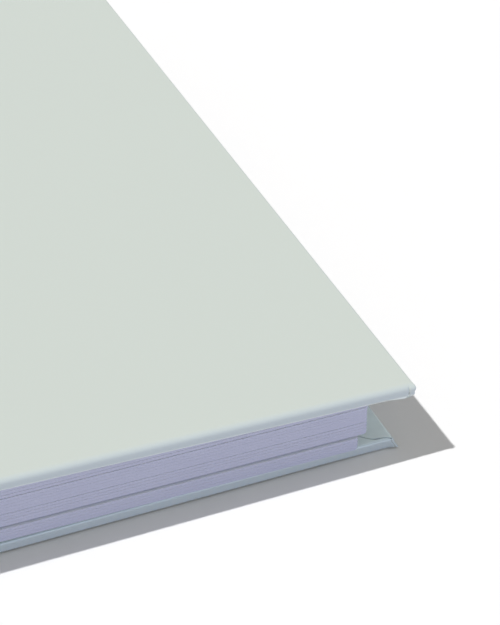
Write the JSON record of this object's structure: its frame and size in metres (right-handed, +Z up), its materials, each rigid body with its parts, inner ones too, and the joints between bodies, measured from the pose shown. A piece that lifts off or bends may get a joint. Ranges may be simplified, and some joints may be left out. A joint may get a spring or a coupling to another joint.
{
  "type": "spiral album",
  "caption": "Square album: wrapped hard covers and loose card leaves, punched along one edge and hung on twin-loop wire so that each turns on its own.",
  "frame": {"origin": "middle of the closed album's box, on the table it lies on", "axes": "+X from the wire-bound spine to the fore-edge, +Y from tail to head, +Z up out of the front cover"},
  "size_m": [0.2306, 0.2082, 0.0309],
  "materials": {
    "cover_paper": "matt pale sage-green wrapping paper, fine felt grain",
    "liner_paper": "matt pale sage-green lining paper, a touch greyer than the wrap",
    "greyboard": "raw grey-brown bookbinding board, seen only in the punched holes",
    "leaf_card": "matt uncoated white card with clean cut edges",
    "wire": "plain drawn steel wire, satin"
  },
  "bodies": {
    "back_cover": {"back_board": "greyboard", "back_wrap": "cover_paper", "back_liner": "liner_paper", "wire_binding": "wire"},
    "leaf_16": {"leaf_16": "leaf_card"},
    "leaf_15": {"leaf_15": "leaf_card"},
    "leaf_14": {"leaf_14": "leaf_card"},
    "leaf_13": {"leaf_13": "leaf_card"},
    "leaf_12": {"leaf_12": "leaf_card"},
    "leaf_11": {"leaf_11": "leaf_card"},
    "leaf_10": {"leaf_10": "leaf_card"},
    "leaf_09": {"leaf_09": "leaf_card"},
    "leaf_08": {"leaf_08": "leaf_card"},
    "leaf_07": {"leaf_07": "leaf_card"},
    "leaf_06": {"leaf_06": "leaf_card"},
    "leaf_05": {"leaf_05": "leaf_card"},
    "leaf_04": {"leaf_04": "leaf_card"},
    "leaf_03": {"leaf_03": "leaf_card"},
    "leaf_02": {"leaf_02": "leaf_card"},
    "leaf_01": {"leaf_01": "leaf_card"},
    "front_cover": {"front_board": "greyboard", "front_wrap": "cover_paper", "front_liner": "liner_paper"}
  },
  "joints": [
    {"name": "leaf_16_turn", "type": "hinge", "parent": "back_cover", "child": "leaf_16", "pos_m": [-0.09986, 0, 0.01556], "axis": [0, -1, 0], "range_deg": [0, 180]},
    {"name": "leaf_15_turn", "type": "hinge", "parent": "leaf_16", "child": "leaf_15", "pos_m": [-0.09986, 0, 0.01556], "axis": [0, -1, 0], "range_deg": [0, 180]},
    {"name": "leaf_14_turn", "type": "hinge", "parent": "leaf_15", "child": "leaf_14", "pos_m": [-0.09986, 0, 0.01556], "axis": [0, -1, 0], "range_deg": [0, 180]},
    {"name": "leaf_13_turn", "type": "hinge", "parent": "leaf_14", "child": "leaf_13", "pos_m": [-0.09986, 0, 0.01556], "axis": [0, -1, 0], "range_deg": [0, 180]},
    {"name": "leaf_12_turn", "type": "hinge", "parent": "leaf_13", "child": "leaf_12", "pos_m": [-0.09986, 0, 0.01556], "axis": [0, -1, 0], "range_deg": [0, 180]},
    {"name": "leaf_11_turn", "type": "hinge", "parent": "leaf_12", "child": "leaf_11", "pos_m": [-0.09986, 0, 0.01556], "axis": [0, -1, 0], "range_deg": [0, 180]},
    {"name": "leaf_10_turn", "type": "hinge", "parent": "leaf_11", "child": "leaf_10", "pos_m": [-0.09986, 0, 0.01556], "axis": [0, -1, 0], "range_deg": [0, 180]},
    {"name": "leaf_09_turn", "type": "hinge", "parent": "leaf_10", "child": "leaf_09", "pos_m": [-0.09986, 0, 0.01556], "axis": [0, -1, 0], "range_deg": [0, 180]},
    {"name": "leaf_08_turn", "type": "hinge", "parent": "leaf_09", "child": "leaf_08", "pos_m": [-0.09986, 0, 0.01556], "axis": [0, -1, 0], "range_deg": [0, 180]},
    {"name": "leaf_07_turn", "type": "hinge", "parent": "leaf_08", "child": "leaf_07", "pos_m": [-0.09986, 0, 0.01556], "axis": [0, -1, 0], "range_deg": [0, 180]},
    {"name": "leaf_06_turn", "type": "hinge", "parent": "leaf_07", "child": "leaf_06", "pos_m": [-0.09986, 0, 0.01556], "axis": [0, -1, 0], "range_deg": [0, 180]},
    {"name": "leaf_05_turn", "type": "hinge", "parent": "leaf_06", "child": "leaf_05", "pos_m": [-0.09986, 0, 0.01556], "axis": [0, -1, 0], "range_deg": [0, 180]},
    {"name": "leaf_04_turn", "type": "hinge", "parent": "leaf_05", "child": "leaf_04", "pos_m": [-0.09986, 0, 0.01556], "axis": [0, -1, 0], "range_deg": [0, 180]},
    {"name": "leaf_03_turn", "type": "hinge", "parent": "leaf_04", "child": "leaf_03", "pos_m": [-0.09986, 0, 0.01556], "axis": [0, -1, 0], "range_deg": [0, 180]},
    {"name": "leaf_02_turn", "type": "hinge", "parent": "leaf_03", "child": "leaf_02", "pos_m": [-0.09986, 0, 0.01556], "axis": [0, -1, 0], "range_deg": [0, 180]},
    {"name": "leaf_01_turn", "type": "hinge", "parent": "leaf_02", "child": "leaf_01", "pos_m": [-0.09986, 0, 0.01556], "axis": [0, -1, 0], "range_deg": [0, 180]},
    {"name": "front_cover_turn", "type": "hinge", "parent": "leaf_01", "child": "front_cover", "pos_m": [-0.09986, 0, 0.01556], "axis": [0, -1, 0], "range_deg": [0, 183.4]}
  ]
}
